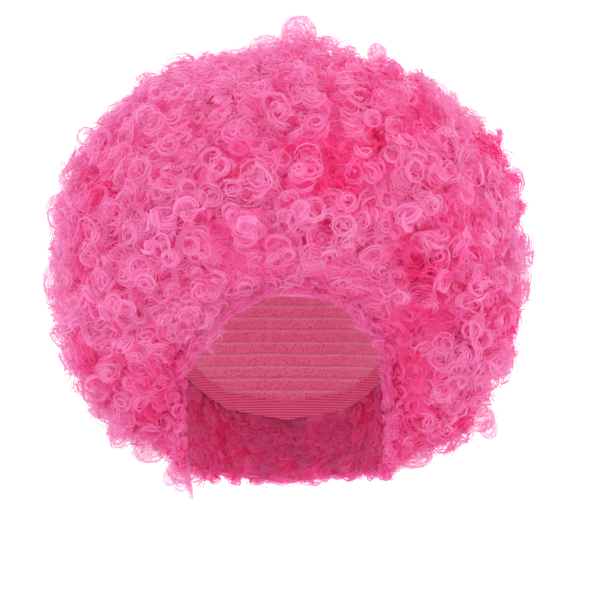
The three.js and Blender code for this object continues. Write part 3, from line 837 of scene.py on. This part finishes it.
class Shades:
    """How pale the hair is at each place: pale puffs with deeper pink between them as painted shade, and
    more painted light and shade besides.
    """

    def __init__(self, surface):
        self.middles = surface.scatter(PUFF_APART, PUFF_TRIES)[0]
        self.tones = rng.beta(*PUFF_CHANCE, len(self.middles))
        self.areas = surface.scatter(PATCH_APART, PATCH_TRIES)[0]
        self.lifts = rng.uniform(-1, 1, len(self.areas))

    def at(self, seat, normal, height):
        """From 0 in a crevice or on the side towards the head, in painted shade, to 1 on a pale puff, in
        painted light.
        """
        gap = np.linalg.norm(seat[:, None] - self.middles[None], axis=2)
        near = np.argmin(gap, axis=1)
        away = gap[np.arange(len(seat)), near] / PUFF_APART
        # Each puff's random tone, falling off from its middle as painted shade between the puffs
        puff = (PUFF_TONES[0] + PUFF_TONES[1] * self.tones[near]) * (PUFF_PEAK - away**2)
        away = np.linalg.norm(seat[:, None] - self.areas[None], axis=2) / PATCH_REACH
        weight = np.exp(-away**2)
        patch = (weight @ self.lifts) / weight.sum(axis=1)
        # Painted shade on the wearer's left side and painted light on the right
        painted_side_shade = seat[:, 0] / HALF_WIDTH
        above = np.clip((seat[:, 2] - TOP_Z) / TOP_RISE, 0, 1)
        crest = puff + TONE_SHIFT + PATCH_WEIGHT * patch - SIDE_SHADE_WEIGHT * painted_side_shade - TOP_WEIGHT * above
        # Painted light on hair that stands out and painted shade on hair in hollows
        crest += height / HEIGHT_FULL
        crest += np.clip(height, 0, None) / RAISED_FULL
        # Painted shade beside the cheeks, on the side towards the head
        hollow = np.linalg.norm(seat[:, :2] / HEAD_HALF[:2], axis=1)
        side = np.exp(-np.clip((hollow - CHEEK_REACH[0]) / CHEEK_REACH[1], 0, None) ** 2)
        below = np.clip((CHEEK_Z - seat[:, 2]) / CHEEK_FADE, 0, 1)
        return np.clip(crest, *TONE_LIMITS) * (1 - CHEEK_SHADE * side * below)


def within(surface, places, faces, section, low, high):
    """Which places lie on a section, between two heights."""
    level = (places[:, 2] > low) & (places[:, 2] <= high)
    return np.flatnonzero(level & (surface.owner[faces] == section))


def make_hair():
    surface = Surface()
    fibre, depths = hair_material(), mass_material()
    seat, face = surface.scatter(CURL_APART, CURL_TRIES)
    under, under_face = surface.scatter(FILL_APART, FILL_TRIES)
    normal, height = surface.smooth(seat, surface.normal[face])
    under_normal, under_height = surface.smooth(under, surface.normal[under_face])
    even = np.sum(under_normal * surface.normal[under_face], axis=1) > EVEN_ENOUGH
    under, under_face = under[even], under_face[even]
    under_normal, under_height = under_normal[even], under_height[even]
    deep, under_deep = surface.thickness(seat, normal), surface.thickness(under, under_normal)
    shades = Shades(surface)
    crest = shades.at(seat, normal, height)
    under_crest = shades.at(under, under_normal, under_height)
    fly = rng.choice(len(seat), FLYAWAYS)
    for i, name in enumerate(SECTIONS):
        halves = [("", -1, 1)]
        if name == "hair_back":
            halves = [("_upper", BACK_SPLIT_Z, 1), ("_lower", -1, BACK_SPLIT_Z)]
        for label, low, high in halves:
            a = within(surface, seat, face, i, low, high)
            b = within(surface, under, under_face, i, low, high)
            c = fly[within(surface, seat[fly], face[fly], i, low, high)]
            parts = curls(seat[a], normal[a], deep[a], crest[a])
            parts += filling(under[b], under_normal[b], under_deep[b], under_crest[b])
            parts += flyaways(seat[c], normal[c])
            if label != "_lower":
                parts += free_curls(name)
                parts += edge_curls(surface, i)
            piece = ribbon_mesh(name.replace("hair", "curls") + label, parts)
            dress(piece, fibre, "hair", name)
            print(piece.name, len(a), len(b), "curls", 2 * len(piece.data.polygons), "triangles")
        hair_mass(name, surface, depths)


# Stage, light and camera
def make_stage():
    mesh = bpy.data.meshes.new("floor")
    corners = [(x * FLOOR_HALF, y * FLOOR_HALF, FLOOR_Z) for x, y in ((-1, -1), (1, -1), (1, 1), (-1, 1))]
    mesh.from_pydata(corners, [], [(0, 1, 2, 3)])
    floor = bpy.data.objects.new("floor", mesh)
    bpy.context.scene.collection.objects.link(floor)
    n = Nodes("pale_floor")
    n.shader.inputs["Base Color"].default_value = (0.97, 0.97, 0.97, 1)
    n.shader.inputs["Roughness"].default_value = 0.8
    mesh.materials.append(n.material)
    world = bpy.data.worlds.new("studio")
    world.use_nodes = True
    background = world.node_tree.nodes["Background"]
    background.inputs["Color"].default_value = (1, 1, 1, 1)
    background.inputs["Strength"].default_value = SKY_STRENGTH
    bpy.context.scene.world = world


def make_light(name, place, size, power, colour):
    data = bpy.data.lights.new(name, "AREA")
    data.shape = "DISK"
    data.size = size
    data.energy = power
    data.color = colour
    lamp = bpy.data.objects.new(name, data)
    lamp.location = place
    target = Vector((0, 0, MIDDLE_Z))
    lamp.rotation_euler = (target - lamp.location).to_track_quat("-Z", "Y").to_euler()
    bpy.context.scene.collection.objects.link(lamp)


def make_camera():
    data = bpy.data.cameras.new("camera")
    data.sensor_width = 36
    data.lens = 36 * CAMERA_AWAY / (PIXEL * FRAME_PIXELS)
    camera = bpy.data.objects.new("camera", data)
    camera.location = (MIDDLE_X, -CAMERA_AWAY, MIDDLE_Z)
    camera.rotation_euler = (math.pi / 2, 0, 0)
    bpy.context.scene.collection.objects.link(camera)
    bpy.context.scene.camera = camera


make_camera()
make_stage()
make_light("key", (-0.9, -1.6, 1.3), 1.0, 2.5, (0.96, 0.98, 1.0))
make_light("fill", (1.3, -1.5, 0.5), 1.2, 2.5, (1.0, 0.84, 0.72))
make_hair()
for node, material, slot in (
    ("wig_cap", net_material(), "cap_net"),
    ("edge_band", elastic_material(), "band_elastic"),
):
    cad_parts[node].data.materials.clear()
    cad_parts[node].data.materials.append(material)
bpy.context.scene.view_settings.view_transform = "Standard"
bpy.context.scene.cycles.diffuse_bounces = 12
